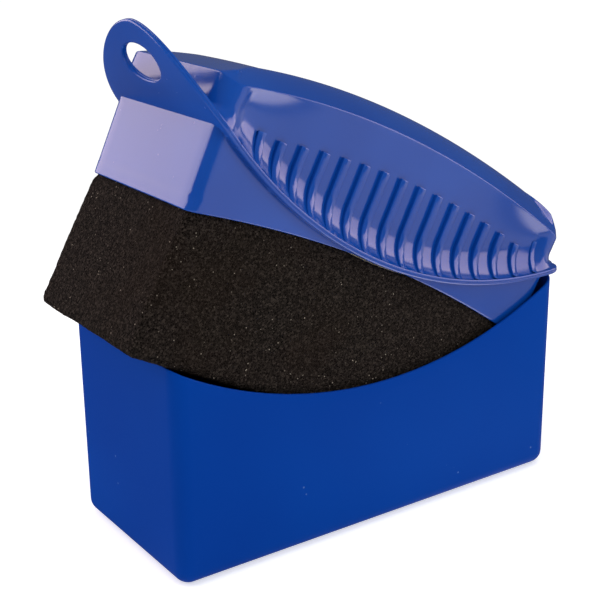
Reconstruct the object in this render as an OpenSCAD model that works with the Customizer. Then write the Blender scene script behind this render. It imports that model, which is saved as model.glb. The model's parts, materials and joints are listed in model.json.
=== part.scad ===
// Foam applicator with its storage case.
// The applicator is a moulded handle with a glued-in foam block. It closes the case as a lid,
// and here it is propped on the case with its hanging tab raised.
// Millimetres, +Z up, origin at the centre of the case's underside, +X away from the hanging tab.

/* [Case] */
// Outside length of the case
case_l = 162.4; // [160:10:190]
// Outside width of the case
case_w = 70.7; // [66:0.1:80]
// Height of the case at its end walls
case_h = 76.6; // [72:0.1:90]
// Thickness of the walls and floor
case_wall = 1.2; // [1:0.1:1.5]
// Radius of the upright corners and of the bottom edges
case_corner_r = 5.5; // [3:0.5:8]
// How far the long rims dip below the ends at mid-length
rim_dip = 22.8; // [18:0.1:24]

/* [Pose] */
// Angle at which the applicator is propped above its closed position
prop_angle = 27.3; // [0:0.1:90]
// Distance of the tipping axis beyond the outside of the right end wall
pivot_out = 2.4; // [2:0.1:6]
// Distance of the tipping axis below the top of that wall
pivot_down = 0.8; // [0:0.1:1]

/* [Flange and tab] */
// How far the flange stands out over the case's long walls
flange_lip = 0.5; // [0.3:0.1:1.5]
// How far the flange stands out over the case's end walls
flange_end_lip = 1.8; // [1:0.1:3]
// Thickness of the flange and of the tab
flange_t = 2; // [1.6:0.1:2.5]
// Dip of the flange's underside over the length of the case
flange_dip = 22.3; // [18:0.1:22.5]
// Gap between the closed flange and the end rims
seat_gap = 0.1; // [0.1:0.05:0.5]
// Corner radius of the flange at the plain end
flange_corner_r = 5; // [3:0.5:8]
// Length of the tab in plan, from its root beside the end of the grip
tab_l = 26; // [24:0.5:35]
// Radius of the tab's upward curl
tab_curl_r = 86; // [70:1:140]
// How pointed the tab's outline is: 2 is an ellipse, less is more pointed
tab_shape = 1.8; // [1.6:0.1:2.4]
// Hanging hole: size across the tab
hole_w = 22.8; // [15:0.1:26]
// Hanging hole: size along the tab, in plan
hole_l = 9.6; // [6:0.1:10]
// Distance from the root of the tab to the middle of the hanging hole, in plan
hole_out = 16.2; // [14:0.1:18]

/* [Skirt] */
// Distance of the skirt's bottom edge in from the outside of the case's end walls
skirt_in = 3.8; // [3.8:0.1:8]
// Draft of the skirt's end walls, in degrees
skirt_draft = 2.5; // [0:0.5:3]
// Clearance between the skirt and the case along the long walls
skirt_gap = 1.1; // [0.3:0.1:1.5]
// Thickness of the skirt
skirt_wall = 1.3; // [1:0.1:2]
// Radius of the skirt's upright corners
skirt_corner_r = 4; // [1.5:0.5:5]
// Height of the skirt's bottom edge at its ends, in the closed position
skirt_low = 48.2; // [44:0.1:50]
// How far the skirt's bottom edge arches up at mid-length
skirt_arch = 6.7; // [4:0.1:8]

/* [Grip] */
// Height of the grip's ridge at mid-length, in the closed position
ridge_h = 104.9; // [97:0.1:110]
// How far the ridge drops towards the grip's ends
ridge_drop = 10.3; // [6:0.1:14]
// Distance of the grip's end walls in from the outside of the case's end walls
grip_in = 0.1; // [0:0.1:2]
// Half width of the grip at its ends, just below the roll
grip_half_w = 33.2; // [31:0.1:33.2]
// How far the sides draw in at mid-length, just below the roll
grip_waist = 5.8; // [2:0.1:6]
// Half width of the sides at the ribs, at mid-length
scoop_half_w = 27.7; // [26:0.1:28.5]
// How far the sides flare out at the ribs' level towards the ends
scoop_flare = 5.6; // [3:0.1:5.7]
// How far the end walls lean in by the top
end_lean = 0.4; // [0:0.1:4]
// Height of the roll along the top edges of the sides
roll_h = 7; // [5:0.5:8]
// Share of that height which the roll loses at the end wall beside the tab
roll_end_cut = 0.6; // [0:0.1:0.6]
// Width of the roll along the top edges
roll_w = 15; // [8:0.5:16]
// Radius of the upright corners of the grip
grip_corner_r = 7; // [5:0.5:9]
// Radius of the fillet that carries the sides out to the flange
fillet_r = 7; // [4:0.5:8]
// Wall thickness of the hollow grip
grip_wall = 2; // [1.5:0.1:3]

/* [Finger ribs] */
// Number of ribs on each side
rib_count = 16; // [8:2:20]
// Distance of the outermost ribs in from the outside of the case's end walls, on average
rib_in = 15.7; // [15:0.1:20]
// How far the row of ribs sits towards the plain end
rib_shift = 5.1; // [0:0.1:5.5]
// Width of a rib
rib_w = 3.2; // [2.5:0.1:4.5]
// Half width over the faces of the middle ribs
rib_half_w = 29.4; // [29:0.1:30.5]
// How much further out a rib's face would lie at either end of the case
rib_bow = 0.7; // [0:0.1:1.5]
// Height of the tallest ribs' tops, in the closed position
rib_top_h = 84.4; // [78:0.1:87]
// Distance of the tallest ribs from mid-length, towards the plain end
rib_top_x = 9; // [0:1:12]
// How much lower a rib would end at either end of the case
rib_top_drop = 9.8; // [3:0.1:10]

/* [Foam] */
// How far the case floor presses the foam up when the applicator is pushed home
foam_press = 0.2; // [0:0.1:2]
// Gap between the foam and the inside of the skirt
foam_gap = 0.1; // [0.05:0.05:0.5]
// Radius of the foam's upright corners
foam_corner_r = 3; // [1:0.5:4]
// Thickness of the glue beads that hold the foam
glue_t = 0.4; // [0.2:0.1:0.8]
// Length of a glue bead
glue_l = 80; // [40:5:90]
// Width of a glue bead
glue_w = 3.6; // [2:0.1:4]

/* [Hidden] */
$fn = 96;
eps = 0.01;
big = 400;

// Circle through the two ends of a chord, given its half length and its rise
function arc_r(half, rise) = (half * half + rise * rise) / (2 * rise);
// Drop of such a circle below its crown, at x from the middle
function arc_drop(r, x) = r - sqrt(r * r - x * x);

half_l = case_l / 2;
half_w = case_w / 2;
rim_r = arc_r(half_l, rim_dip);

// Underside of the flange: an arc whose lowest point is at mid-length
flange_r = arc_r(half_l, flange_dip);
flange_low = case_h + seat_gap - flange_dip;
flange_half_l = half_l + flange_end_lip;
flange_half_w = half_w + flange_lip;
function flange_top(x) = flange_low + flange_t + arc_drop(flange_r - flange_t, x);

// The tab leaves the flange tangentially above the end of the skirt. It is a hair smaller all
// round than the end of the flange that it grows out of.
tab_x = 5.2 - half_l;
tab_step = 0.05;
tab_root = 3;
tab_slope = asin(-tab_x / flange_r);
tab_z = flange_low + arc_drop(flange_r, tab_x);
tab_axis_x = tab_x + tab_curl_r * sin(tab_slope);
tab_axis_z = tab_z + tab_curl_r * cos(tab_slope);

skirt_half_l = half_l - skirt_in;
skirt_half_w = half_w - case_wall - skirt_gap;
skirt_arch_r = arc_r(skirt_half_l, skirt_arch);

grip_half_l = half_l - grip_in;
ridge_r = arc_r(grip_half_l, ridge_drop);
function ridge_z(x) = ridge_h - arc_drop(ridge_r, x);
// Half widths of the sides just below the roll, and at the ribs' level
function side_y(x) = grip_half_w - grip_waist * (1 - pow(x / grip_half_l, 2));
function base_y(x) = scoop_half_w + scoop_flare * pow(x / grip_half_l, 8);
// How far the ribs and the fillets end short of the flange's edge, and the room that leaves the
// fillet beside the side at x
foot_in = 0.3;
foot_y = flange_half_w - foot_in;
function foot_room(x) = min(fillet_r, foot_y - base_y(x));

rib_half_span = half_l - rib_in;
rib_pitch = 2 * rib_half_span / (rib_count - 1);
function rib_top(x) = rib_top_h - rib_top_drop * pow((x - rib_top_x) / half_l, 2);
function rib_face_y(x) = rib_half_w + rib_bow * pow(x / half_l, 2);

foam_half_l = skirt_half_l - skirt_wall - foam_gap;
foam_half_w = skirt_half_w - skirt_wall - foam_gap;
foam_low = case_wall - foam_press;

pivot_x = half_l + pivot_out;
pivot_z = case_h - pivot_down;

// ---- helpers ----

// Tips its children about the axis beside the right end wall, from the closed position
module propped() {
    translate([pivot_x, 0, pivot_z])
        rotate([0, prop_angle, 0])
            translate([-pivot_x, 0, -pivot_z])
                children();
}

// A cylinder that lies across the case, along Y
module roller(r, x, z) {
    translate([x, 0, z])
        rotate([90, 0, 0])
            cylinder(r = r, h = big, center = true, $fn = 256);
}

// Upright prism with a rounded rectangle as its plan
module rounded_prism(half_x, half_y, r, z0, z1) {
    translate([0, 0, z0])
        linear_extrude(z1 - z0) {
            square([2 * half_x, 2 * (half_y - r)], center = true);
            square([2 * (half_x - r), 2 * half_y], center = true);
            for (sx = [-1, 1], sy = [-1, 1])
                translate([sx * (half_x - r), sy * (half_y - r)])
                    circle(r);
        }
}

// Block with rounded upright corners and rounded bottom edges
module tub(half_x, half_y, r, z0, z1) {
    rounded_prism(half_x, half_y, r, z0 + r, z1);
    translate([0, 0, z0 + r]) {
        translate([r - half_x, r - half_y, -r])
            cube([2 * (half_x - r), 2 * (half_y - r), 2 * r]);
        for (sy = [-1, 1])
            translate([r - half_x, sy * (half_y - r), 0])
                rotate([0, 90, 0])
                    cylinder(r = r, h = 2 * (half_x - r));
        for (sx = [-1, 1])
            translate([sx * (half_x - r), half_y - r, 0])
                rotate([90, 0, 0])
                    cylinder(r = r, h = 2 * (half_y - r));
        for (sx = [-1, 1], sy = [-1, 1])
            translate([sx * (half_x - r), sy * (half_y - r), 0])
                sphere(r);
    }
}

// ---- the grip's skin, as a stack of plan outlines ----

corner_steps = 5;
side_steps = 24;
fillet_steps = 5;
wall_steps = 4;
roll_steps = 6;

// Half of a plan outline, y >= 0, from the right end to the left end, as points [x, y, e], where
// e is 1 on the end wall beside the tab and 0 elsewhere. out_x and out_y move it outwards from the grip's
// outline below the roll, scoop takes it in to the ribs' level, and flare spreads its foot.
function half_outline(out_x, out_y, r, scoop, flare) =
    let (
        corner_x = grip_half_l + out_x - r,
        wall_y = function(x) out_y + (1 - scoop) * side_y(x) + scoop * base_y(x) + flare * foot_room(x),
        corner_y = wall_y(corner_x) - r
    )
    concat(
        [for (i = [0:corner_steps])
            let (a = 90 * i / corner_steps)
            [corner_x + r * cos(a), corner_y + r * sin(a), 0]],
        [for (i = [1:side_steps - 1])
            let (x = corner_x * (1 - 2 * i / side_steps))
            [x, wall_y(x), 0]],
        [for (i = [0:corner_steps])
            let (a = 90 + 90 * i / corner_steps)
            [r * cos(a) - corner_x, corner_y + r * sin(a), pow(cos(a), 2)]]
    );
half_points = 2 * (corner_steps + 1) + side_steps - 1;
loop_points = 2 * half_points;

// A layer is [out_x, out_y, corner radius, scoop, flare, share, rise, fall]: its height runs from
// rise above the flange, at share 0, to fall below the ridge, at share 1.
function layer_points(l) =
    let (
        half = half_outline(l[0], l[1], l[2], l[3], l[4]),
        both = concat(half, [for (i = [half_points - 1:-1:0]) [half[i][0], -half[i][1], half[i][2]]])
    )
    [for (p = both)
        let (
            low = flange_top(p[0]) + l[6],
            high = ridge_z(p[0]) - l[7] * (1 - roll_end_cut * p[2])
        )
        [p[0], p[1], (1 - l[5]) * low + l[5] * high]];

// Closed solid through a stack of layers, lowest first
module loft(layers) {
    top = (len(layers) - 1) * loop_points;
    polyhedron(
        points = [for (l = layers) each layer_points(l)],
        faces = concat(
            [for (i = [0:half_points - 2])
                [i, i + 1, loop_points - 2 - i, loop_points - 1 - i]],
            [for (j = [0:len(layers) - 2], i = [0:loop_points - 1])
                let (a = j * loop_points + i, b = j * loop_points + (i + 1) % loop_points)
                each [[a, a + loop_points, b + loop_points], [a, b + loop_points, b]]],
            [for (i = [0:half_points - 2])
                [top + loop_points - 1 - i, top + loop_points - 2 - i, top + i + 1, top + i]]
        )
    );
}

// Layers of the grip's skin, moved in by inset, from drop below the flange's top to the ridge.
// foot_inset moves the ends in at the foot, where the cavity has to pass inside the skirt.
function skin(inset, foot_inset, drop) =
    let (
        corner = grip_corner_r - inset / 2,
        end_flare = inset > 0 ? 0 : flange_half_l - foot_in - grip_half_l,
        side_flare = inset > 0 ? 0 : 1,
        span_h = roll_h - inset,
        span_w = roll_w - inset
    )
    concat(
        [[end_flare - foot_inset, -inset, corner + end_flare, 1, side_flare, 0, -drop, 0]],
        [for (i = [0:fillet_steps])
            let (a = 90 * i / fillet_steps, out = 1 - sin(a))
            [end_flare * out - foot_inset, -inset, corner + end_flare * out, 1,
                side_flare * out, 0, eps + fillet_r * (1 - cos(a)), 0]],
        [for (i = [1:wall_steps - 1])
            let (share = i / wall_steps)
            [-end_lean * share - inset, -inset, corner, 1 - pow(share, 2), 0,
                share, fillet_r, roll_h]],
        [for (i = [0:roll_steps])
            let (a = 90 * i / roll_steps, in = 1 - cos(a))
            [-end_lean - inset - span_w * in, -inset - span_w * in,
                max(corner - span_w * in, 1), 0, 0, 1, 0, inset + span_h * (1 - sin(a))]]
    );

// One rib: its side view stands on the flange and leans against the grip's side
module rib(x) {
    out_y = rib_face_y(x);
    root_y = base_y(x) - grip_wall / 2;
    base_z = flange_top(x);
    translate([x - rib_w / 2, 0, 0])
        rotate([90, 0, 90])
            linear_extrude(rib_w)
                polygon(concat(
                    [[root_y, base_z - flange_t / 2], [foot_y, base_z - flange_t / 2]],
                    [for (i = [0:fillet_steps])
                        let (a = 90 * i / fillet_steps)
                        [out_y + (foot_y - out_y) * (1 - sin(a)),
                            base_z + fillet_r * (1 - cos(a))]],
                    [[out_y, rib_top(x)], [root_y, rib_top(x)]]
                ));
}

// Flange: an arched plate with rounded corners at its plain end
module flange() {
    intersection() {
        difference() {
            roller(flange_r, 0, flange_low + flange_r);
            roller(flange_r - flange_t, 0, flange_low + flange_r);
        }
        translate([tab_x, -flange_half_w, 0])
            cube([big, 2 * flange_half_w, case_h + 2 * flange_t]);
        union() {
            rounded_prism(flange_half_l, flange_half_w, flange_corner_r, 0, big);
            translate([tab_x, -flange_half_w, 0])
                cube([flange_half_l, 2 * flange_half_w, big]);
        }
    }
}

// Point of a half or whole oval of half axes a and b. A shape of 2 is an ellipse.
function oval(a, b, shape, t) =
    [a * sign(cos(t)) * pow(abs(cos(t)), 2 / shape), b * sign(sin(t)) * pow(abs(sin(t)), 2 / shape)];

// Tab: the flange carried on past the grip, curling up, with the hanging hole
module tab() {
    tab_half_w = flange_half_w - tab_step;
    difference() {
        intersection() {
            difference() {
                roller(tab_curl_r - tab_step, tab_axis_x, tab_axis_z);
                roller(tab_curl_r - flange_t + tab_step, tab_axis_x, tab_axis_z);
            }
            translate([tab_x, 0, case_h - 10])
                linear_extrude(50)
                    polygon(concat(
                        [[tab_root, tab_half_w]],
                        [for (t = [90:3.75:270]) oval(tab_l, tab_half_w, tab_shape, t)],
                        [[tab_root, -tab_half_w]]
                    ));
        }
        translate([tab_x - hole_out, 0, 0])
            linear_extrude(big)
                polygon([for (t = [0:7.5:359]) oval(hole_l / 2, hole_w / 2, 2, t)]);
    }
}

// Skirt: an open frame under the flange that holds the top of the foam
module skirt() {
    flare = (case_h - skirt_low) * tan(skirt_draft);
    difference() {
        rounded_prism(skirt_half_l + flare, skirt_half_w, skirt_corner_r, skirt_low, case_h + 2);
        rounded_prism(skirt_half_l - skirt_wall, skirt_half_w - skirt_wall, skirt_corner_r / 2,
            0, big);
        roller(flange_r - flange_t / 2, 0, flange_low + flange_r);
        roller(skirt_arch_r, 0, skirt_low + skirt_arch - skirt_arch_r);
        for (s = [-1, 1])
            translate([s * skirt_half_l, 0, skirt_low])
                rotate([0, s * skirt_draft, 0])
                    translate([s * 10, 0, 0])
                        cube([20, 2 * case_w, 80], center = true);
    }
}

// Cross web inside the grip. Its foot ends a little above the flange's underside.
web_count = 3;
web_pitch = 36;
web_t = 1.6;
web_up = 0.2;
module web(x) {
    foot_y = base_y(x) - grip_wall / 2;
    head_y = side_y(x) - grip_wall / 2;
    foot_z = flange_low + arc_drop(flange_r, abs(x) + web_t / 2) + web_up;
    head_z = ridge_z(x) - roll_h;
    translate([x - web_t / 2, 0, 0])
        rotate([90, 0, 90])
            linear_extrude(web_t)
                polygon([
                    [-foot_y, foot_z],
                    [foot_y, foot_z],
                    [head_y, head_z],
                    [head_y - roll_w / 2, ridge_z(x) - grip_wall],
                    [roll_w / 2 - head_y, ridge_z(x) - grip_wall],
                    [-head_y, head_z]
                ]);
}

// ---- sub-parts ----

module case() {
    color([0.05, 0.27, 0.60])
        difference() {
            tub(half_l, half_w, case_corner_r, 0, case_h);
            tub(half_l - case_wall, half_w - case_wall, case_corner_r - case_wall, case_wall,
                case_h + 1);
            roller(rim_r, 0, case_h - rim_dip + rim_r);
        }
}

module handle() {
    foot_inset = grip_half_l - skirt_half_l + skirt_wall + 0.2;
    color([0.22, 0.33, 0.68])
        propped() {
            difference() {
                union() {
                    flange();
                    tab();
                    skirt();
                    loft(skin(0, 0, flange_t / 2));
                }
                loft(skin(grip_wall, foot_inset, flange_t * 2));
            }
            for (i = [0:rib_count - 1]) {
                rib(rib_shift + i * rib_pitch - rib_half_span);
                mirror([0, 1, 0])
                    rib(rib_shift + i * rib_pitch - rib_half_span);
            }
            for (i = [0:web_count - 1])
                web((i - (web_count - 1) / 2) * web_pitch);
        }
}

// Room left between a glue bead and each of the two surfaces it holds, and beside the foam's edge
glue_gap = 0.02;
glue_in = 0.5;

module foam_block() {
    color([0.12, 0.10, 0.09])
        propped()
            difference() {
                rounded_prism(foam_half_l, foam_half_w, foam_corner_r, foam_low, case_h);
                roller(flange_r + glue_t, 0, flange_low + flange_r);
            }
}

module foam_glue() {
    color([0.90, 0.86, 0.72])
        propped()
            for (sy = [-1, 1])
                intersection() {
                    difference() {
                        roller(flange_r + glue_t - glue_gap, 0, flange_low + flange_r);
                        roller(flange_r + glue_gap, 0, flange_low + flange_r);
                    }
                    translate([0, sy * (foam_half_w - glue_w / 2 - glue_in), flange_low])
                        cube([glue_l, glue_w, 20], center = true);
                }
}

case();
handle();
foam_block();
foam_glue();
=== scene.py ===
"""A foam applicator propped on its storage case: the looks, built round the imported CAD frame.

Every piece is drawn in the closed position, where its edges lie square, and is then turned to
rest about the tipping joint. Lengths in the build functions are millimetres.
"""

import json
import math

import bmesh
import bpy
import numpy as np
from mathutils import Matrix, Vector, noise


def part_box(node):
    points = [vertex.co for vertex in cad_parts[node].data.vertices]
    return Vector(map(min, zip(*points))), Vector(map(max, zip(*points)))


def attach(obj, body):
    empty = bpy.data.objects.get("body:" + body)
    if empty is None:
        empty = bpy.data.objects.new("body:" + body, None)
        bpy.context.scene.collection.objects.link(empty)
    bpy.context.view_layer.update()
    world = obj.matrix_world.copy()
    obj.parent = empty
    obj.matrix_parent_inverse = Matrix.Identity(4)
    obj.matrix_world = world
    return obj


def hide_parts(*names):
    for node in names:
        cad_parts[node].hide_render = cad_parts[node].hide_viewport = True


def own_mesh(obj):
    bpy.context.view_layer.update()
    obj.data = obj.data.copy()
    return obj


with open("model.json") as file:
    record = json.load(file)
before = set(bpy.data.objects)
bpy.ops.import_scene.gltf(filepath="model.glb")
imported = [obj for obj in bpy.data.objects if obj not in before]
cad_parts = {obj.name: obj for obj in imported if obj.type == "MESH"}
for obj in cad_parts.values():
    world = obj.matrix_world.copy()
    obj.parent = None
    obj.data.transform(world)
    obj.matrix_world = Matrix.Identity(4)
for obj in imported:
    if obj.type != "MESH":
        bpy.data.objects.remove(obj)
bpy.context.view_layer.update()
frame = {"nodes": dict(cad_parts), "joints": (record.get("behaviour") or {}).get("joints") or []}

MM = 0.001

# ---- places and sizes, from the frame ----

tip = next(j for j in frame["joints"] if j["name"] == "applicator_tip")
PIVOT = Vector(tip["pos_m"])
PROP_ANGLE = -math.radians(tip["range_deg"][0])
TO_REST = Matrix.Translation(PIVOT) @ Matrix.Rotation(PROP_ANGLE, 4, "Y") @ Matrix.Translation(-PIVOT)


def closed_box(node):
    """Lowest and highest corner of an applicator node in the closed position, in millimetres."""
    to_closed = TO_REST.inverted()
    points = np.array([to_closed @ v.co for v in frame["nodes"][node].data.vertices]) / MM
    return points.min(0), points.max(0)


case_hi = np.array(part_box("case")[1]) / MM
handle_lo, handle_hi = closed_box("handle")
foam_lo, foam_hi = closed_box("foam_block")

HALF_L, HALF_W, CASE_H = case_hi[0], case_hi[1], case_hi[2]
CASE_WALL = 1.2
CASE_CORNER_R = 5.5
RIM_DIP = 22.8

FLANGE_T = 2.0
FLANGE_DIP = 22.3
SEAT_GAP = 0.1
FLANGE_L, FLANGE_W = handle_hi[0], handle_hi[1]
FLANGE_CORNER_R = 5.0
FLANGE_EDGE_R = 0.55
SPINE_MARGIN = 36
TAB_ROOT_X = 5.2 - HALF_L
TAB_TIP_X = handle_lo[0]
TAB_CURL_R = 86.0
TAB_SHAPE = 1.8
HOLE_OUT, HOLE_L, HOLE_W = 16.2, 9.6, 22.8

SKIRT_LOW = handle_lo[2]
SKIRT_L, SKIRT_W = HALF_L - 3.8, HALF_W - 2.3
SKIRT_CORNER_R = 4.0
SKIRT_WALL = 1.3
SKIRT_ARCH = 6.7
SKIRT_DRAFT = math.tan(math.radians(2.5))

RIDGE_H = handle_hi[2]
RIDGE_DROP = 10.3
RIDGE_EXTRA, RIDGE_TURN, RIDGE_SWELL = 0.45, 2.2, 0.45
GRIP_L = HALF_L - 0.1
GRIP_W = 33.2
GRIP_WAIST = 5.8
SCOOP_W = 27.7
SCOOP_FLARE = 5.6
END_LEAN, TAB_END_LEAN = -0.3, 0.4
ROLL_H, ROLL_W = 7.0, 16.0
ROLL_SLOPE = math.radians(31)
ROLL_END_CUT = 0.6
END_ROUND = 16.0
CROWN_DISH = 1.0
GRIP_CORNER_R = 7.0
CORNER_TURN_X = GRIP_L - 11.5
CREASE_R = 0.3
COVE_R, END_COVE_R = 13.0, 2.5
COVE_OUT, COVE_IN = 8.0, 1.1
COVE_LIFT = 0.05
GRIP_WALL = 2.0
GRIP_SINK = 1.0
WEB_X, WEB_T = (-36, 0, 36), 1.6

RIB_COUNT = 16
RIB_HALF_SPAN = HALF_L - 15.7
RIB_SHIFT = 5.1
RIB_W = 3.2
RIB_HALF_W, RIB_BOW = 29.4, 0.7
RIB_TOP_H, RIB_TOP_X, RIB_TOP_DROP = 84.4, 9.0, 9.8
RIB_EDGE_R = 0.4
RIB_ROOF = 0.2

FOAM_EDGE_R = 3.0
FOAM_GRID = 0.7
FOAM_BULGE_L, FOAM_BULGE_W = 1.0, 0.8
FOAM_SPREAD_L, FOAM_SPREAD_W = 1.6, 0.75


def arc_r(half, rise):
    """Radius of the arc over a chord of half length half, with that rise."""
    return (half * half + rise * rise) / (2 * rise)


def arc_drop(r, x):
    """How far such an arc has dropped at x from its middle."""
    return r - np.sqrt(r * r - np.square(x))


FLANGE_R = arc_r(HALF_L, FLANGE_DIP)
FLANGE_LOW = CASE_H + SEAT_GAP - FLANGE_DIP
TAB_SLOPE = math.asin(-TAB_ROOT_X / FLANGE_R)
TAB_AXIS_X = TAB_ROOT_X + TAB_CURL_R * math.sin(TAB_SLOPE)
TAB_AXIS_Z = FLANGE_LOW + arc_drop(FLANGE_R, TAB_ROOT_X) + TAB_CURL_R * math.cos(TAB_SLOPE)
RIDGE_R = arc_r(GRIP_L, RIDGE_DROP)
SKIRT_ARCH_R = arc_r(SKIRT_L, SKIRT_ARCH)
FOOT_W = FLANGE_W - 0.3
END_ROOM = FLANGE_L - 0.3 - GRIP_L


def plate_low(x):
    """Height of the underside of the flange and tab."""
    flange = FLANGE_LOW + arc_drop(FLANGE_R, np.clip(x, TAB_ROOT_X, HALF_L + 5))
    curl = TAB_AXIS_Z - np.sqrt(TAB_CURL_R**2 - np.square(np.minimum(x, TAB_ROOT_X) - TAB_AXIS_X))
    return np.where(np.asarray(x) < TAB_ROOT_X, curl, flange)


def plate_normal(x):
    """Unit normal (x, z) of the plate, pointing up."""
    flange = np.stack([-np.asarray(x) / FLANGE_R, np.sqrt(1 - np.square(np.asarray(x) / FLANGE_R))], -1)
    lean = (TAB_AXIS_X - np.asarray(x)) / TAB_CURL_R
    curl = np.stack([lean, np.sqrt(np.maximum(1 - np.square(lean), 0))], -1)
    return np.where((np.asarray(x) < TAB_ROOT_X)[..., None], curl, flange)


def plate_top(x):
    """Height of the plate's top, straight above x."""
    return plate_low(x) + FLANGE_T / plate_normal(x)[..., 1]


def ridge_z(x):
    return RIDGE_H - arc_drop(RIDGE_R, x)


def ridge_extra(x):
    """How much fuller the roll stands than the even arc of the ridge, more so at the right."""
    reach = x / GRIP_L
    return RIDGE_EXTRA + RIDGE_TURN * reach + RIDGE_SWELL * (1 - np.square(reach))


def side_y(x):
    """Half width of the grip just below its roll."""
    return GRIP_W - GRIP_WAIST * (1 - np.square(x / GRIP_L))


def scoop_y(x):
    """Half width of the grip at the ribs' level, out to the full width just before the corners."""
    scooped = SCOOP_W + SCOOP_FLARE * np.power(x / GRIP_L, 8)
    turn = np.clip((np.abs(x) - CORNER_TURN_X) / (GRIP_L - GRIP_CORNER_R - CORNER_TURN_X), 0, 1)
    return scooped + turn * turn * (3 - 2 * turn) * (side_y(x) - scooped)


def skirt_low_z(x):
    """Height of the skirt's bottom edge."""
    return SKIRT_LOW + SKIRT_ARCH - arc_drop(SKIRT_ARCH_R, np.clip(x, -SKIRT_L, SKIRT_L))


# ---- mesh helpers ----


def make_object(name, points, faces, turned=True):
    """Mesh object from points in millimetres; a turned one is brought from closed to rest."""
    mesh = bpy.data.meshes.new(name)
    mesh.from_pydata((np.asarray(points) * MM).tolist(), [], faces)
    bm = bmesh.new()
    bm.from_mesh(mesh)
    bmesh.ops.remove_doubles(bm, verts=bm.verts, dist=1e-6)
    bmesh.ops.dissolve_degenerate(bm, edges=bm.edges, dist=1e-7)
    bmesh.ops.recalc_face_normals(bm, faces=bm.faces)
    bm.to_mesh(mesh)
    bm.free()
    if turned:
        mesh.transform(TO_REST)
    obj = bpy.data.objects.new(name, mesh)
    bpy.context.scene.collection.objects.link(obj)
    return obj


def skin_faces(rings, count, wrap=False):
    """Quads between rings of count points each; wrap joins the last ring to the first."""
    faces = []
    for j in range(rings if wrap else rings - 1):
        a, b = j * count, (j + 1) % rings * count
        for i in range(count):
            k = (i + 1) % count
            faces.append((a + i, a + k, b + k, b + i))
    return faces


def to_spine(ring, spine_half, height, steps):
    """Rings that close a ring down to a spine along X, each point at height(x, y, share)."""
    centre = np.stack([np.clip(ring[:, 0], -spine_half, spine_half), np.zeros(len(ring))], 1)
    closing = []
    for share in np.linspace(1, 0, steps + 1)[1:]:
        flat = centre + share * (ring[:, :2] - centre)
        closing.append(np.column_stack([flat, height(flat[:, 0], flat[:, 1], share)]))
    return closing


def rounded_outline(half_x, half_y, r, long_steps=48, short_steps=16, corner_steps=10):
    """Plan outline of a rounded rectangle, the same number of points for every size."""
    r = max(r, 0.05)
    arcs = []
    for sx, sy, start in ((1, 1, 0), (-1, 1, 90), (-1, -1, 180), (1, -1, 270)):
        angles = np.radians(np.linspace(start, start + 90, corner_steps + 1))
        centre = (sx * (half_x - r), sy * (half_y - r))
        arcs.append(centre + r * np.stack([np.cos(angles), np.sin(angles)], 1))
    loop = []
    for n, arc in enumerate(arcs):
        steps = long_steps if n % 2 == 0 else short_steps
        shares = np.linspace(0, 1, steps + 1)[1:-1, None]
        loop += [arc, arc[-1] + shares * (arcs[(n + 1) % 4][0] - arc[-1])]
    return np.concatenate(loop)


def union(target, others, operation="UNION"):
    """Joins closed solids to target, or cuts them from it, and removes them."""
    for other in others:
        modifier = target.modifiers.new("join", "BOOLEAN")
        modifier.operation = operation
        modifier.solver = "MANIFOLD"
        modifier.object = other
    bpy.context.view_layer.update()
    mesh = bpy.data.meshes.new_from_object(target.evaluated_get(bpy.context.evaluated_depsgraph_get()))
    target.modifiers.clear()
    target.data = mesh
    for other in others:
        bpy.data.objects.remove(other)
    return target


def smooth(obj, degrees):
    """Smooth shading, with edges sharper than the angle left crisp."""
    obj.data.shade_smooth()
    obj.data.set_sharp_from_angle(angle=math.radians(degrees))


# ---- case ----


def rim_z(x):
    return CASE_H - RIM_DIP + arc_drop(arc_r(HALF_L, RIM_DIP), np.clip(x, -HALF_L, HALF_L))


def build_case():
    """Open-topped case: outer skin, rounded rim and inner skin in one closed mesh."""
    edge_r = CASE_WALL / 2
    rings = []

    def add(inset, corner_r, height):
        flat = rounded_outline(HALF_L - inset, HALF_W - inset, corner_r)
        rings.append(np.column_stack([flat, height(flat[:, 0])]))

    def bend(wall, floor):
        """The rounded bottom edge of the skin that lies wall inside the outside."""
        r = CASE_CORNER_R - wall
        return [
            (wall + r * (1 - math.sin(a)), r * math.sin(a), floor + r * (1 - math.cos(a)))
            for a in np.radians(np.linspace(4, 90, 11))
        ]

    def wall_ring(inset, corner_r, floor, share):
        bottom = floor + CASE_CORNER_R
        add(inset, corner_r, lambda x: bottom + share * (rim_z(x) - edge_r - bottom))

    for inset, corner_r, z in bend(0, 0):
        add(inset, corner_r, lambda x, z=z: np.full_like(x, z))
    for share in np.linspace(0, 1, 15)[1:]:
        wall_ring(0, CASE_CORNER_R, 0, share)
    for a in np.radians(np.linspace(0, 180, 9)[1:-1]):
        inset = edge_r * (1 - math.cos(a))
        add(inset, CASE_CORNER_R - inset, lambda x, a=a: rim_z(x) - edge_r * (1 - math.sin(a)))
    for share in np.linspace(1, 0, 15)[:-1]:
        wall_ring(CASE_WALL, CASE_CORNER_R - CASE_WALL, 0, share)
    for inset, corner_r, z in reversed(bend(CASE_WALL, CASE_WALL)):
        add(inset, corner_r, lambda x, z=z: np.full_like(x, z))
    spine = HALF_L - HALF_W
    floor = to_spine(rings[-1], spine, lambda x, y, s: np.full_like(x, CASE_WALL), 4)
    base = to_spine(rings[0], spine, lambda x, y, s: np.zeros_like(x), 4)
    rings = list(reversed(base)) + rings + floor
    count = len(rings[0])
    case = make_object("storage_case", np.concatenate(rings), skin_faces(len(rings), count), turned=False)
    smooth(case, 40)
    return case


# ---- handle ----


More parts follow.
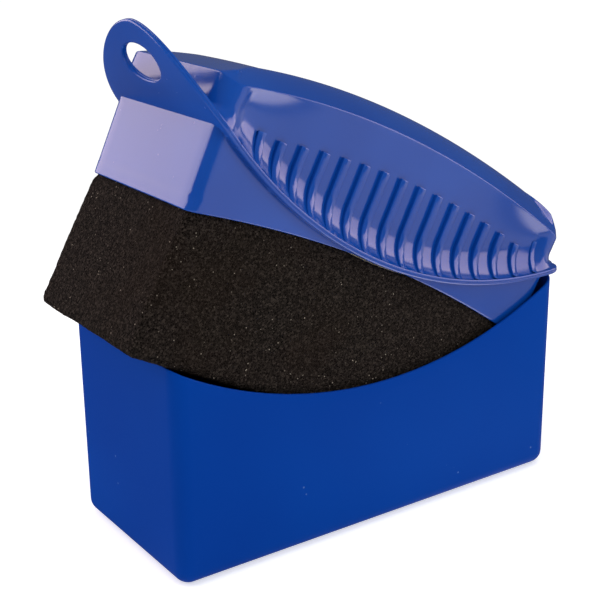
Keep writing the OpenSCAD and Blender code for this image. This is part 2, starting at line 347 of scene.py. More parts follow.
def cove(room, share, r=COVE_R):
    """How far the hollow at a wall's foot reaches out, and its height, share of the way up it."""
    foot_angle = np.arccos(1 - room / r)
    angle = foot_angle * (1 - share)
    return r * (1 - np.cos(angle)), r * (np.sin(foot_angle) - np.sin(angle))


def side_room(x):
    """Room for the hollow between the side and where it meets the flange."""
    return np.minimum(COVE_OUT, FOOT_W - COVE_IN - scoop_y(x))


def grip_outline(out_y, r, scoop, share, side_steps=72, corner_steps=10, end_steps=8):
    """Plan outline of the grip, and how far each point is on an end wall, from 0 to 1."""
    foot, end_foot = share < 1, cove(END_ROOM, share, END_COVE_R)[0]
    corner_x = GRIP_L - r

    def wall_y(x):
        flare = cove(side_room(x), share)[0] if foot else 0
        return out_y + (1 - scoop) * side_y(x) + scoop * scoop_y(x) + flare

    corner_y = wall_y(corner_x) - r
    end = np.stack([np.full(end_steps, GRIP_L), np.linspace(0, corner_y, end_steps + 1)[:-1]], 1)
    angles = np.radians(np.linspace(0, 90, corner_steps + 1))
    corner = np.stack([corner_x + r * np.cos(angles), corner_y + r * np.sin(angles)], 1)
    end_share = np.concatenate([np.ones(end_steps), np.cos(angles) ** 2])
    quarter = np.concatenate([end, corner]) + np.outer(end_share, (end_foot, 0))
    even = np.linspace(1, -1, side_steps + 1)[1:-1]
    xs = corner_x * (0.65 * even + 0.35 * np.sin(even * math.pi / 2))
    side = np.stack([xs, wall_y(xs)], 1)
    half = np.concatenate([quarter, side, quarter[::-1] * (-1, 1)])
    end_share = np.concatenate([end_share, np.zeros(len(xs)), end_share[::-1]])
    loop = np.concatenate([half, half[-2:0:-1] * (1, -1)])
    return loop, np.concatenate([end_share, end_share[-2:0:-1]])


def grip_ring(out_x, out_y, r, scoop, foot_share, share, fall, end_fall=None, sink=None, **steps):
    """One ring of the grip's skin: on the foot's hollow, or share of the way from it to the crease.

    fall is the ring's drop below the ridge, end_fall that at the far end from the tab. A sink sets
    a height below the plate's top instead.
    """
    end_fall = fall if end_fall is None else end_fall
    flat, end = grip_outline(out_y, r, scoop, foot_share, **steps)
    reach = np.clip(np.abs(flat[:, 0]) / GRIP_L, 0, 1)
    lean = np.where(flat[:, 0] > 0, END_LEAN, TAB_END_LEAN) * share
    flat[:, 0] += np.sign(flat[:, 0]) * reach * (out_x - lean)
    x = flat[:, 0]
    if sink is not None:
        return np.column_stack([flat, plate_top(x) - sink])
    side_foot, end_foot = cove(side_room(x), foot_share)[1], cove(END_ROOM, foot_share, END_COVE_R)[1]
    low = plate_top(x) + COVE_LIFT + (1 - end) * side_foot + end * end_foot
    cut = np.where(x < 0, ROLL_END_CUT * end, 0)
    extra = ridge_extra(x)
    rounder = np.where(x > 0, end, 0)
    fall = fall + rounder * (end_fall - fall)
    high = ridge_z(x) + extra - fall * (1 - cut) * (1 + extra / ROLL_H)
    return np.column_stack([flat, (1 - share) * low + share * high])


def rounded_crease(below, corner, above, radius):
    """Rings that round the crease through corner, between the rings below and above it."""
    def toward(ring):
        gap = ring - corner
        length = np.linalg.norm(gap, axis=1, keepdims=True)
        return corner + gap * np.minimum(radius / np.maximum(length, 1e-6), 0.9)

    start, stop = toward(below), toward(above)
    return [
        (1 - t) ** 2 * start + 2 * t * (1 - t) * corner + t**2 * stop
        for t in (0.0, 0.25, 0.5, 0.75, 1.0)
    ]


def roll_profile(width, height):
    """(inward, fall, end fall) from the crease up over the roll to the edge of the crown.

    The far end is rounded to a quarter circle, the sides slope away more gently.
    """
    power = math.tan(ROLL_SLOPE) * width / height
    ways = 1 - np.linspace(1, 0, 19)[1:] ** 1.6
    profile = []
    for t in ways:
        left = max(0.0, 1 - width * t / END_ROUND)
        profile.append((width * t, height * (1 - t) ** power, height * (1 - math.sqrt(1 - left * left))))
    return profile


def build_grip():
    """The grip's outside as a closed solid that stands in the flange."""
    corner = GRIP_CORNER_R
    rings = [grip_ring(0, 0, corner, 1, 0, 0, 0, sink=GRIP_SINK)]
    rings += [grip_ring(0, 0, corner, 1, s, 0, 0) for s in np.linspace(0, 1, 17)]
    for share in np.linspace(0, 1, 17)[1:-1]:
        rings.append(grip_ring(0, 0, corner, 1 - share**2.5, 1, share, ROLL_H))
    crease = grip_ring(0, 0, corner, 0, 1, 1, ROLL_H)
    roll = [
        grip_ring(-inward, -inward, max(corner - inward, 1.5), 0, 1, 1, fall, end_fall)
        for inward, fall, end_fall in roll_profile(ROLL_W, ROLL_H)
    ]
    rings += rounded_crease(rings[-1], crease, roll[0], CREASE_R) + roll
    edge = rings[-1]
    half = edge[:, 0].max()
    spine = half - np.abs(edge[:, 1]).max()

    def crown(x, y, share):
        dish = CROWN_DISH * (1 - share**2) * (1 - np.power(np.abs(x) / half, 6))
        return ridge_z(x) + ridge_extra(x) - dish

    rings += to_spine(edge, spine, crown, 7)
    base = to_spine(rings[0], spine, lambda x, y, s: plate_top(x) - GRIP_SINK, 4)
    rings = list(reversed(base)) + rings
    return make_object("grip", np.concatenate(rings), skin_faces(len(rings), len(edge)))


def build_cavity():
    """The hollow inside the grip, from below the flange up to the ridge."""
    steps = {"side_steps": 72, "corner_steps": 6, "end_steps": 3}
    corner = GRIP_CORNER_R - GRIP_WALL / 2
    foot_in = GRIP_L - SKIRT_L + SKIRT_WALL + 0.2
    wall = -GRIP_WALL
    foot_wall = wall - 2.3  # clear of the corners' turn, from which the foot is set back
    rings = [grip_ring(-foot_in, foot_wall, corner, 1, 1, 0, 0, sink=2 * FLANGE_T, **steps)]
    rings.append(grip_ring(-foot_in, foot_wall, corner, 1, 1, 0, 0, **steps))
    for share in (0.3, 0.6, 0.8):
        rings.append(grip_ring(wall, wall, corner, 1 - share**2.5, 1, share, ROLL_H, **steps))
    roll = roll_profile(ROLL_W - GRIP_WALL, ROLL_H - GRIP_WALL)
    for inward, fall in [(0, ROLL_H)] + [point[:2] for point in roll[::2]]:
        r = max(corner - inward, 1)
        drop = fall + GRIP_WALL + CROWN_DISH
        rings.append(grip_ring(wall - inward, wall - inward, r, 0, 1, 1, drop, **steps))
    spine = rings[-1][:, 0].max() - np.abs(rings[-1][:, 1]).max()
    top = to_spine(rings[-1], spine, lambda x, y, s: ridge_z(x) - GRIP_WALL - CROWN_DISH, 2)
    base = to_spine(rings[0], spine, lambda x, y, s: plate_top(x) - 2 * FLANGE_T, 2)
    rings = list(reversed(base)) + rings + top
    return make_object("cavity", np.concatenate(rings), skin_faces(len(rings), len(rings[0])))


def on_plate(flat, depth):
    """Points over the plan points flat, depth below the plate's top along its normal."""
    x = flat[:, 0]
    normal = plate_normal(x)
    rise = FLANGE_T - depth
    return np.column_stack([x + rise * normal[:, 0], flat[:, 1], plate_low(x) + rise * normal[:, 1]])


def edge_profile(thickness, r, lip):
    """(inset, depth) pairs round the rim of a plate, with a parting line half way down."""
    top = [(r * (1 - math.sin(a)), r * (1 - math.cos(a))) for a in np.radians(np.linspace(0, 90, 6))]
    bottom = [(inset, thickness - depth) for inset, depth in reversed(top)]
    middle = thickness / 2
    groove = [(0, middle - 0.16), (lip, middle - 0.05), (lip, middle + 0.05), (0, middle + 0.16)]
    return top + groove + bottom


def inset_outline(flat, inset):
    """A closed plan outline moved inwards by inset."""
    along = np.roll(flat, -1, 0) - np.roll(flat, 1, 0)
    along /= np.maximum(np.linalg.norm(along, axis=1, keepdims=True), 1e-9)
    return flat + inset * np.stack([-along[:, 1], along[:, 0]], 1)


def build_flange():
    """The arched plate under the grip, with its rounded rim."""
    middle = (FLANGE_L + TAB_ROOT_X) / 2
    right = rounded_outline(FLANGE_L, FLANGE_W, FLANGE_CORNER_R, 96, 16, 12)
    keep = right[right[:, 0] > TAB_ROOT_X + 0.5]
    order = np.argsort(np.arctan2(keep[:, 1], keep[:, 0] - middle))
    keep = keep[order]
    left = [(TAB_ROOT_X, y) for y in np.linspace(FLANGE_W, -FLANGE_W, 25)]
    upper = keep[keep[:, 1] > 0]
    lower = keep[keep[:, 1] <= 0]
    flat = np.concatenate([lower, upper, left])
    profile = edge_profile(FLANGE_T, FLANGE_EDGE_R, 0.12)
    rings = [on_plate(inset_outline(flat, inset), depth) for inset, depth in profile]

    def closing(ring_flat, depth):
        spine_x = np.clip(ring_flat[:, 0], TAB_ROOT_X + SPINE_MARGIN, FLANGE_L - SPINE_MARGIN)
        centre = np.stack([spine_x, np.zeros(len(flat))], 1)
        return [on_plate(centre + s * (ring_flat - centre), depth) for s in (0.8, 0.6, 0.4, 0.2, 0.0)]

    edge = inset_outline(flat, FLANGE_EDGE_R)
    rings = closing(edge, 0)[::-1] + rings + closing(edge, FLANGE_T)
    return make_object("flange", np.concatenate(rings), skin_faces(len(rings), len(flat)))


def superellipse(angle, a, b, shape):
    c, s = np.cos(angle), np.sin(angle)
    power = 2 / shape
    return np.stack([a * np.sign(c) * np.abs(c) ** power, b * np.sign(s) * np.abs(s) ** power], -1)


def build_tab():
    """The hanging tab: a curled ring of plate between its outline and the hanging hole."""
    count = 160
    angles = np.linspace(0, 2 * math.pi, count, endpoint=False)
    reach = TAB_ROOT_X - tab_length_end()
    width = FLANGE_W - 0.02
    outline = superellipse(angles, reach, width, TAB_SHAPE)
    root_depth = 5.0
    outline[:, 0] = np.where(outline[:, 0] > 0, np.minimum(outline[:, 0], root_depth), outline[:, 0])
    inner_side = np.cos(angles) > 0
    outline[inner_side, 1] = width * np.clip(np.sin(angles[inner_side]) * 1.25, -1, 1)
    outline += (TAB_ROOT_X, 0)
    hole = np.stack([HOLE_L / 2 * np.cos(angles), HOLE_W / 2 * np.sin(angles)], 1)
    hole += (TAB_ROOT_X - HOLE_OUT, 0)
    thinner, edge_r = 0.02, 0.5  # each face lies that far inside the flange's
    rim = edge_profile(FLANGE_T - 2 * thinner, edge_r, 0.1)
    outer = [on_plate(inset_outline(outline, inset), depth + thinner) for inset, depth in rim]
    inner = [on_plate(inset_outline(hole, -inset), depth + thinner) for inset, depth in rim]
    top_from, top_to = inset_outline(hole, -edge_r), inset_outline(outline, edge_r)
    shares = np.linspace(0, 1, 12)[1:-1]
    top = [on_plate(top_from + s * (top_to - top_from), thinner) for s in shares]
    low = [on_plate(top_to + s * (top_from - top_to), FLANGE_T - thinner) for s in shares]
    rings = top + outer + low + inner[::-1]
    return make_object("tab", np.concatenate(rings), skin_faces(len(rings), count, wrap=True))


def tab_length_end():
    """Plan X of the tab's tip on the plate's underside."""
    xs = np.linspace(TAB_TIP_X - 2, TAB_ROOT_X, 400)
    tops = xs + FLANGE_T * plate_normal(xs)[:, 0]
    return xs[np.argmax(np.minimum(xs, tops) >= TAB_TIP_X)]


def build_skirt():
    """The frame that holds the foam: thin walls, slightly drafted, with a witness line at the ends."""
    outline = {"long_steps": 64, "short_steps": 16, "corner_steps": 6}
    sunk = 1.0  # how far the walls stand in the flange
    top = plate_low(HALF_L) + sunk
    edge_r = 0.45
    witness, step = 4.5, 0.06
    strip, full = 0.9, 6.0  # least height of a wall, and the height from which it isn't shrunk

    def ring(inset, corner_r, height, end_step=0):
        flat = rounded_outline(SKIRT_L - inset, SKIRT_W - inset, corner_r, **outline)
        z = height(flat[:, 0])
        end = np.abs(flat[:, 0]) >= SKIRT_L - inset - corner_r * 0.99
        flat[:, 0] += np.where(end, np.sign(flat[:, 0]) * (SKIRT_DRAFT * (z - SKIRT_LOW) - end_step), 0)
        return np.column_stack([flat, z])

    def wall(share, start):
        """Heights of a ring on a wall, from start above the bottom edge up into the flange.

        Where the flange arches down to the bottom edge, the wall shrinks to a strip inside it.
        """
        def height(x):
            high = np.minimum(plate_low(x) + sunk, top)
            low = np.minimum(skirt_low_z(x), high - strip)
            low = low + start * np.clip((high - low) / full, 0, 1)
            return low + share * (high - low)
        return height

    rings = []
    for a in np.radians(np.linspace(0, 90, 5)):
        inset, lift = edge_r * (1 - math.sin(a)), edge_r * (1 - math.cos(a))
        rings.append(ring(inset, SKIRT_CORNER_R - inset, wall(0, lift)))
    rings.append(ring(0, SKIRT_CORNER_R, wall(0, edge_r + 0.3)))
    rings.append(ring(0, SKIRT_CORNER_R, wall(0, witness - 0.1)))
    rings += [ring(0, SKIRT_CORNER_R, wall(share, witness), step) for share in np.linspace(0, 1, 9)]
    inner_r = SKIRT_CORNER_R - SKIRT_WALL
    rings += [ring(SKIRT_WALL, inner_r, wall(share, edge_r)) for share in np.linspace(1, 0, 7)]
    rings.append(ring(SKIRT_WALL - 0.3, inner_r, wall(0, 0)))
    return make_object("skirt", np.concatenate(rings), skin_faces(len(rings), len(rings[0]), wrap=True))


def rib_face_y(x):
    return RIB_HALF_W + RIB_BOW * np.square(x / HALF_L)


def rib_top_z(x):
    return RIB_TOP_H - RIB_TOP_DROP * np.square((x - RIB_TOP_X) / HALF_L)


def build_rib(x, side):
    """One finger rib on the side with that sign, swept from its top down to the flange's edge.

    Across its width it is a low roof with rounded edges.
    """
    face, base, top = rib_face_y(x), float(plate_top(x)), rib_top_z(x)
    root = scoop_y(x) - 1.2
    r, sunk = RIB_EDGE_R, 0.8
    path = []
    for a in np.radians(np.linspace(0, 90, 4)):
        path.append((face - r * (1 - math.sin(a)), top - r * (1 - math.cos(a))))
    room = FOOT_W - 0.05 - face
    foot_h = float(cove(room, 1)[1])
    path += [(face, top - r - s * (top - r - base - foot_h)) for s in np.linspace(0, 1, 7)[1:-1]]
    for s in np.linspace(1, 0, 13):
        out, rise = cove(room, s)
        path.append((face + float(out), base + float(rise)))
    half = RIB_W / 2
    arc = np.radians(np.linspace(0, 70, 5))
    section = [(-half, 0.0)]
    section += [(r * (1 - math.cos(a)) - half, -r * (1 - math.sin(a)) - RIB_ROOF) for a in arc]
    section += [(-0.25, -0.04), (0.0, 0.0)]
    section += [(-u, d) for u, d in reversed(section[:-1])]
    rings = []
    for y, z in path:
        sunk_y = min(root, y - 2.5)
        sunk_z = (min(z, base) if z < base + 3 else z) - sunk
        ring = [(x + u, side * (y + d), z) for u, d in section]
        ring[0] = (x + section[0][0], side * sunk_y, sunk_z)
        ring[-1] = (x + section[-1][0], side * sunk_y, sunk_z)
        rings.append(ring)
    count = len(section)
    faces = skin_faces(len(rings), count)
    faces.append(tuple(range(count)))
    last = (len(rings) - 1) * count
    faces.append(tuple(last + i for i in reversed(range(count))))
    return make_object("rib", np.array(rings).reshape(-1, 3), faces)


def build_web(x):
    """Cross web inside the grip."""
    foot, head = scoop_y(x) - GRIP_WALL / 2, side_y(x) - GRIP_WALL / 2
    low, crown = float(plate_low(x)) + 0.05, ridge_z(x) - GRIP_WALL / 2 - CROWN_DISH
    shoulder, crease = head - 0.8 * ROLL_W, ridge_z(x) - ROLL_H
    right = [(foot, low), (head, crease), (shoulder, crown)]
    shape = [(-foot, low)] + right + [(-shoulder, crown), (-head, crease)]
    half_t = WEB_T / 2
    points = [(x - half_t, y, z) for y, z in shape] + [(x + half_t, y, z) for y, z in shape]
    return make_object("web", points, [tuple(range(6)), tuple(range(11, 5, -1))] + skin_faces(2, 6))


def build_handle():
    """The whole moulding in one closed mesh."""
    handle = build_grip()
    handle.name = "applicator_handle"
    ribs = []
    for i in range(RIB_COUNT):
        x = RIB_SHIFT + RIB_HALF_SPAN * (2 * i / (RIB_COUNT - 1) - 1)
        ribs += [build_rib(x, 1), build_rib(x, -1)]
    union(handle, [build_flange(), build_tab(), build_skirt()] + ribs)
    union(handle, [build_cavity()], "DIFFERENCE")
    union(handle, [build_web(x) for x in WEB_X])
    smooth(handle, 32)
    return handle


# ---- foam ----


def foam_top(x):
    """Height of the foam's top, just clear of the flange."""
    return plate_low(x) - 0.4


def foam_size(x, z):
    """Half length and half width of the foam at a height: held in the skirt, full below it."""
    free = np.clip((skirt_low_z(x) + 0.5 - z) / 3.0, 0, 1)
    free = free * free * (3 - 2 * free)
    depth = np.clip((skirt_low_z(x) - z) / (SKIRT_LOW - foam_lo[2]), 0, 1)
    half_l = foam_hi[0] + FOAM_BULGE_L * free + FOAM_SPREAD_L * depth
    half_w = foam_hi[1] - 0.05 + FOAM_BULGE_W * free + FOAM_SPREAD_W * depth
    return half_l, half_w


def build_foam():
    """The foam block: a fine grid wrapped on a soft-edged block, roughened by its open cells."""
    low, high = foam_lo[2], CASE_H - FLANGE_DIP
    counts = [max(2, round(s / FOAM_GRID)) for s in (2 * foam_hi[0], 2 * foam_hi[1], high - low)]
    index, points, faces = {}, [], []

    def vertex(i, j, k):
        key = (i, j, k)
        if key not in index:
            index[key] = len(points)
            points.append((2 * i / counts[0] - 1, 2 * j / counts[1] - 1, k / counts[2]))
        return index[key]

    for axis in range(3):
        u, v = [a for a in range(3) if a != axis]
        for level in (0, counts[axis]):
            for a in range(counts[u]):
                for b in range(counts[v]):
                    corner = []
                    for da, db in ((0, 0), (1, 0), (1, 1), (0, 1)):
                        cell = [0, 0, 0]
                        cell[axis], cell[u], cell[v] = level, a + da, b + db
                        corner.append(vertex(*cell))
                    faces.append(tuple(corner))
    unit = np.array(points)
    x = unit[:, 0] * foam_hi[0]
    z = low + unit[:, 2] * (foam_top(x) - low)
    half_l, half_w = foam_size(x, z)
    half = np.stack([half_l, half_w, np.full(len(x), (high - low) / 2)], 1)
    at = np.stack([unit[:, 0], unit[:, 1], 2 * unit[:, 2] - 1], 1) * half
    core = np.clip(at, -(half - FOAM_EDGE_R), half - FOAM_EDGE_R)
    core[:, 2] = np.where(unit[:, 2] > 0.5, at[:, 2], core[:, 2])
    gap = at - core
    length = np.linalg.norm(gap, axis=1)
    outward = gap / np.maximum(length, 1e-9)[:, None]
    rounded = np.where((length > FOAM_EDGE_R)[:, None], core + outward * FOAM_EDGE_R, at)
    shift = np.column_stack([rounded[:, 0], rounded[:, 1], z + rounded[:, 2] - at[:, 2]])
    cells = np.array([cell_depth(p) for p in shift])
    held = np.clip((skirt_low_z(x) - z) / 1.5, 0, 1) * np.clip(1 - unit[:, 2], 0, 1) ** 0.1
    shift -= outward * (cells * held)[:, None]
    foam = make_object("foam_pad", shift, faces)
    foam.data.shade_smooth()
    return foam


def cell_depth(p):
    """Depth of the foam's open cells, its grain and its slow unevenness at a point."""
    at = Vector(p)
    pores = noise.voronoi(at / 1.9, distance_metric="DISTANCE")[0]
    return (
        0.42 * max(0.0, 0.62 - pores[0])
        + 0.16 * noise.noise(at / 1.1)
        + 0.35 * noise.noise(at / 14 + Vector((3, 8, 1)))
        + 0.12
    )


# ---- materials ----


class Nodes:
    """Short hand for building one material's node tree."""

    def __init__(self, name):
        self.material = bpy.data.materials.new(name)
        self.material.use_nodes = True
        self.tree = self.material.node_tree
        self.tree.nodes.clear()
        self.out = self.add("OutputMaterial")
        self.place = self.add("TexCoord").outputs["Object"]

    def add(self, kind, **inputs):
        node = self.tree.nodes.new("ShaderNode" + kind)
        self.set(node, **inputs)
        return node

    def set(self, node, **inputs):
        for name, value in inputs.items():
            socket = node.inputs[int(name[1:]) if name[0] == "_" else name.replace("_", " ")]
            if isinstance(value, bpy.types.NodeSocket):
                self.tree.links.new(value, socket)
            else:
                socket.default_value = value

    def math(self, operation, *values, clamp=False):
        node = self.add("Math", **{f"_{i}": v for i, v in enumerate(values)})
        node.operation = operation
        node.use_clamp = clamp
        return node.outputs[0]

    def noise(self, scale, detail=3.0, roughness=0.5, place=None):
        node = self.add("TexNoise", Vector=place or self.place, Scale=scale, Detail=detail)
        self.set(node, Roughness=roughness)
        return node.outputs["Fac"]

    def voronoi(self, scale, feature="F1", place=None):
        node = self.add("TexVoronoi", Vector=place or self.place, Scale=scale)
        node.feature = feature
        return node.outputs["Distance"]

    def stretch(self, x, y, z, place=None):
        node = self.add("Mapping", Vector=place or self.place, Scale=(x, y, z))
        return node.outputs["Vector"]

    def ramp(self, value, low, high, start=0.0, stop=1.0):
        node = self.add("MapRange", Value=value, _1=low, _2=high, _3=start, _4=stop)
        node.interpolation_type = "SMOOTHSTEP"
        return node.outputs["Result"]

    def mix(self, share, a, b):
        node = self.add("MixRGB", Fac=share, Color1=a, Color2=b)
        return node.outputs["Color"]

    def bump(self, height, distance, strength=1.0, normal=None):
        node = self.add("Bump", Height=height, Distance=distance, Strength=strength)
        if normal:
            self.set(node, Normal=normal)
        return node.outputs["Normal"]

    def surface(self, shader):
        self.tree.links.new(shader, self.out.inputs["Surface"])
        return self.material


def handle_material():
    """Glossy moulded polypropylene: clear reflections, faint flow marks, and a painted highlight lightening
    the convex edges.
    """
    n = Nodes("handle_plastic_gloss")
    drift = n.noise(18, 2)
    fine = n.noise(1400, 2)
    flow = n.noise(60, 3, 0.6, n.stretch(1, 4, 1))
    colour = n.mix(n.ramp(drift, 0.35, 0.7), (0.002, 0.052, 0.310, 1), (0.004, 0.064, 0.355, 1))
    # painted highlight: convex edges, found by pointiness, are mixed towards a lighter blue
    edge = n.ramp(n.add("NewGeometry").outputs["Pointiness"], 0.52, 0.60)
    colour = n.mix(n.math("MULTIPLY", edge, 0.35), colour, (0.045, 0.135, 0.520, 1))
    scratches = n.ramp(n.noise(420, 2, 0.5, n.stretch(0.06, 1, 1)), 0.68, 0.74)
    roughness = n.math("ADD", n.ramp(flow, 0.3, 0.7, 0.13, 0.19), n.math("MULTIPLY", scratches, 0.10))
    normal = n.bump(n.math("ADD", n.math("MULTIPLY", fine, 0.08), flow), 0.00006, 0.3)
    shader = n.add("BsdfPrincipled", Base_Color=colour, Roughness=roughness, IOR=1.5, Normal=normal)
    n.set(shader, Specular_IOR_Level=0.5)
    return n.surface(shader.outputs[0])


def case_material():
    """Satin moulded plastic, with the odd hair scratch and speck of dust."""
    n = Nodes("case_plastic_satin")
    drift = n.noise(11, 2)
    grain = n.noise(2600, 2)
    waves = n.noise(22, 2, 0.4, n.stretch(1, 1, 0.4))
    colour = n.mix(n.ramp(drift, 0.3, 0.7), (0.0, 0.039, 0.280, 1), (0.0, 0.047, 0.312, 1))
    hair = n.noise(230, 3, 0.5, n.stretch(1, 0.25, 0.08))
    hair = n.math("MULTIPLY", n.ramp(hair, 0.735, 0.76), n.ramp(n.noise(30, 2), 0.52, 0.60))
    dust = n.math("MULTIPLY", n.ramp(n.voronoi(170), 0.075, 0.045), n.ramp(n.noise(34, 2), 0.55, 0.62))
    marks = n.math("MAXIMUM", hair, dust)
    colour = n.mix(n.math("MULTIPLY", marks, 0.45), colour, (0.20, 0.33, 0.55, 1))
    roughness = n.math("ADD", n.ramp(grain, 0.3, 0.7, 0.42, 0.52), n.math("MULTIPLY", marks, 0.1))
    bumpy = n.bump(waves, 0.0004, 0.12)
    normal = n.bump(grain, 0.00003, 0.35, bumpy)
    shader = n.add("BsdfPrincipled", Base_Color=colour, Roughness=roughness, IOR=1.45, Normal=normal)
    n.set(shader, Specular_IOR_Level=0.03)
    return n.surface(shader.outputs[0])


def foam_material():
    """Charcoal open-cell foam: every cell its own tone, struts lightened against painted shade in the cell
    hollows, and a few painted glints on them.
    """
    n = Nodes("open_cell_foam")
    shade = n.add("TexVoronoi", Vector=n.place, Scale=1700).outputs["Color"]
    shade = n.math("POWER", n.add("SeparateColor", Color=shade).outputs[0], 3.0)
    tone = n.mix(shade, (0.0020, 0.0015, 0.0012, 1), (0.0420, 0.0330, 0.0270, 1))
    cell = n.voronoi(1150, "DISTANCE_TO_EDGE")
    # painted shade: the cell hollows stay dark while the struts at the cell edges are lightened
    strut_light_pore_shade = n.ramp(cell, 0.20, 0.03)
    tone = n.mix(n.math("MULTIPLY", strut_light_pore_shade, 0.35), tone, (0.034, 0.027, 0.022, 1))
    # painted glints: a few bright beige specks on the struts
    glint = n.ramp(n.voronoi(560), 0.16, 0.08)
    glint = n.math("MULTIPLY", glint, n.ramp(n.noise(150, 2), 0.52, 0.62))
    tone = n.mix(n.math("MULTIPLY", glint, 0.9), tone, (0.34, 0.29, 0.23, 1))
    brown = n.ramp(n.noise(26, 3), 0.45, 0.7)
    tone = n.mix(n.math("MULTIPLY", brown, 0.3), tone, (0.016, 0.009, 0.005, 1))
    fine = n.voronoi(2300)
    pit = n.math("ADD", n.math("MULTIPLY", cell, 1.3), n.math("MULTIPLY", fine, -0.6))
    normal = n.bump(pit, 0.0006, 0.9)
    shader = n.add("BsdfPrincipled", Base_Color=tone, Roughness=0.85, Normal=normal)
    n.set(shader, Specular_IOR_Level=0.05)
    return n.surface(shader.outputs[0])


def glue_material():
    """Amber hot-melt glue with a wavy skin."""
    n = Nodes("hot_melt_glue")
    wave = n.noise(240, 3)
    colour = n.mix(wave, (0.52, 0.40, 0.20, 1), (0.80, 0.70, 0.48, 1))
    shader = n.add("BsdfPrincipled", Base_Color=colour, Roughness=0.35, Normal=n.bump(wave, 0.0003))
    n.set(shader, Subsurface_Weight=0.2)
    return n.surface(shader.outputs[0])


def dress(obj, material):
    obj.data.materials.clear()
    obj.data.materials.append(material)


# ---- studio ----

GLOW_SPOT = (0.06, -0.12, 0.0)
GLOW_SPOT_LEVEL, GLOW_LEVEL, GLOW_BACK = 4.5, 0.65, 0.12
WORLD_FILL, WORLD_DIM = 0.45, 0.13


def floor_material():
    """White sweep with a faint shadow beside the object, and a bright spot in front when mirrored."""
    n = Nodes("studio_floor")
    away = n.add("VectorMath", _0=n.place)
    away.operation = "LENGTH"
    away = away.outputs["Value"]
    matt = n.add("BsdfDiffuse", Color=(0.8, 0.8, 0.8, 1))
    lift = n.add("Emission", Color=(1, 1, 1, 1), Strength=0.55)
    near = n.add("AddShader", _0=matt.outputs[0], _1=lift.outputs[0])
    far = n.add("Emission", Color=(1, 1, 1, 1), Strength=1.05)
    seen = n.add("MixShader", _0=n.ramp(away, 0.20, 0.42), _1=near.outputs[0], _2=far.outputs[0])
    off = n.add("VectorMath", _0=n.place, _1=GLOW_SPOT)
    off.operation = "DISTANCE"
    glow = n.ramp(off.outputs["Value"], 0.045, 0.11, GLOW_SPOT_LEVEL, GLOW_LEVEL)
    glow = n.math("MULTIPLY", glow, n.ramp(away, 0.26, 0.38, 1.0, 1.8))
    y = n.add("SeparateXYZ", Vector=n.place).outputs["Y"]
    glow = n.math("MULTIPLY", glow, n.ramp(y, -0.06, 0.02, 1.0, GLOW_BACK))
    mirrored = n.add("Emission", Color=(1.0, 0.86, 0.84, 1), Strength=glow)
    path = n.add("LightPath")
    bounce = n.add("Emission", Color=(1, 1, 1, 1), Strength=0.35)
    lit = n.add("AddShader", _0=matt.outputs[0], _1=bounce.outputs[0])
    other = n.add("MixShader", _0=path.outputs["Is Glossy Ray"], _1=lit.outputs[0], _2=mirrored.outputs[0])
    mixed = n.add("MixShader", _0=path.outputs["Is Camera Ray"], _1=other.outputs[0], _2=seen.outputs[0])
    return n.surface(mixed.outputs[0])


def build_floor():
    """A wide white square just below the case's underside."""
    mesh = bpy.data.meshes.new("studio_floor")
    reach, level = 4.0, -0.0002
    corners = [(-reach, -reach, level), (reach, -reach, level), (reach, reach, level), (-reach, reach, level)]
    mesh.from_pydata(corners, [], [(0, 1, 2, 3)])
    floor = bpy.data.objects.new("studio_floor", mesh)
    bpy.context.scene.collection.objects.link(floor)
    dress(floor, floor_material())


def add_panel(name, direction, distance, width, height, strength, colour, mirrored=True, lights=True):
    """A soft rectangular light that faces the object, seen in its gloss, lighting it, or both."""
    target = Vector((0, 0, 0.08))
    light = bpy.data.lights.new(name, "AREA")
    light.shape = "RECTANGLE"
    light.size, light.size_y = width, height
    light.energy = strength * math.pi * width * height
    light.color = colour
    panel = bpy.data.objects.new(name, light)
    bpy.context.scene.collection.objects.link(panel)
    back = Vector(direction).normalized()
    panel.location = target + back * distance
    panel.rotation_euler = back.to_track_quat("Z", "Y").to_euler()
    panel.visible_camera = False
    panel.visible_glossy = mirrored
    panel.visible_diffuse = lights


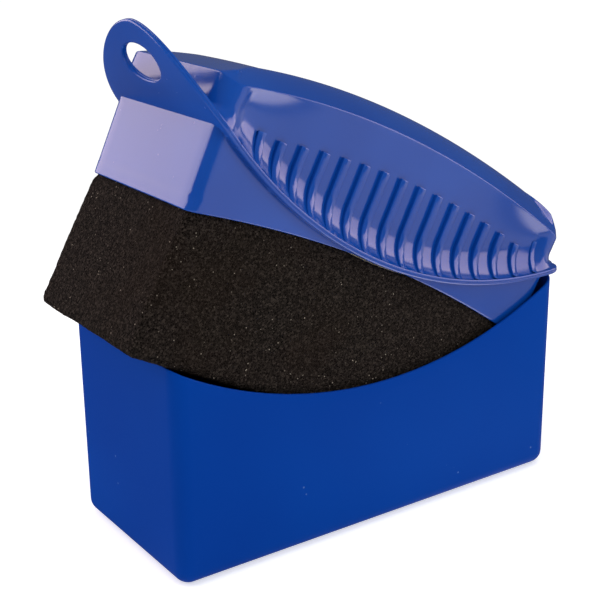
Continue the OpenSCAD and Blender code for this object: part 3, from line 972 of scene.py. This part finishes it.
def build_world():
    """White behind the object for the camera, a soft fill for its surfaces, and dim in reflections."""
    world = bpy.data.worlds.new("studio")
    bpy.context.scene.world = world
    world.use_nodes = True
    tree = world.node_tree
    tree.nodes.clear()
    out = tree.nodes.new("ShaderNodeOutputWorld")
    path = tree.nodes.new("ShaderNodeLightPath")

    def background(colour, strength):
        node = tree.nodes.new("ShaderNodeBackground")
        node.inputs["Color"].default_value = colour
        node.inputs["Strength"].default_value = strength
        return node.outputs[0]

    def choose(ray, other, chosen):
        node = tree.nodes.new("ShaderNodeMixShader")
        for socket, source in zip(node.inputs, (path.outputs[ray], other, chosen)):
            tree.links.new(source, socket)
        return node.outputs[0]

    tint = (0.93, 0.95, 1.0, 1)
    fill, dim = background(tint, WORLD_FILL), background(tint, WORLD_DIM)
    unseen = choose("Is Glossy Ray", fill, dim)
    seen = choose("Is Camera Ray", unseen, background((1, 1, 1, 1), 1.0))
    tree.links.new(seen, out.inputs["Surface"])


def build_lights():
    add_panel("key_overhead", (-0.10, -0.25, 1.0), 0.9, 0.9, 0.7, 1.9, (1.0, 0.98, 0.96), mirrored=False)
    add_panel("left_back", (-0.61, 0.75, 0.36), 0.8, 0.75, 0.50, 3.6, (1.0, 0.80, 0.82))
    add_panel("right", (0.81, -0.46, 0.36), 0.37, 0.28, 0.24, 4.0, (1.0, 0.76, 0.78), lights=False)
    add_panel("front", (0.20, -0.85, 0.45), 0.9, 0.6, 0.6, 1.6, (1.0, 0.99, 0.97), mirrored=False)


def build_camera():
    """Long lens, from the front left and above, at the height of the rim."""
    azimuth, elevation, roll = math.radians(34.33), math.radians(18.99), math.radians(-0.66)
    distance, lens = 0.4624, 78.2
    target = Vector((-0.0098, 0, 0.0756))
    forward = Vector((
        math.sin(azimuth) * math.cos(elevation),
        math.cos(azimuth) * math.cos(elevation),
        -math.sin(elevation),
    ))
    level = Vector((math.cos(azimuth), -math.sin(azimuth), 0))
    up = level.cross(forward)
    right = math.cos(roll) * level + math.sin(roll) * up
    up = right.cross(forward)
    camera = bpy.data.objects.new("camera", bpy.data.cameras.new("camera"))
    bpy.context.scene.collection.objects.link(camera)
    camera.data.lens = lens
    camera.data.clip_start = 0.01
    camera.matrix_world = Matrix.Translation(target - distance * forward) @ Matrix(
        (right, up, -forward)
    ).transposed().to_4x4()
    bpy.context.scene.camera = camera


# ---- put together ----

case = build_case()
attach(case, "case")
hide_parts("case")
dress(case, case_material())

handle = build_handle()
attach(handle, "applicator")
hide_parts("handle")
dress(handle, handle_material())

foam = build_foam()
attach(foam, "applicator")
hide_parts("foam_block")
dress(foam, foam_material())
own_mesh(foam)

dress(frame["nodes"]["foam_glue"], glue_material())

build_floor()
build_world()
build_lights()
build_camera()
scene = bpy.context.scene
scene.view_settings.view_transform = "Standard"
scene.view_settings.look = "None"
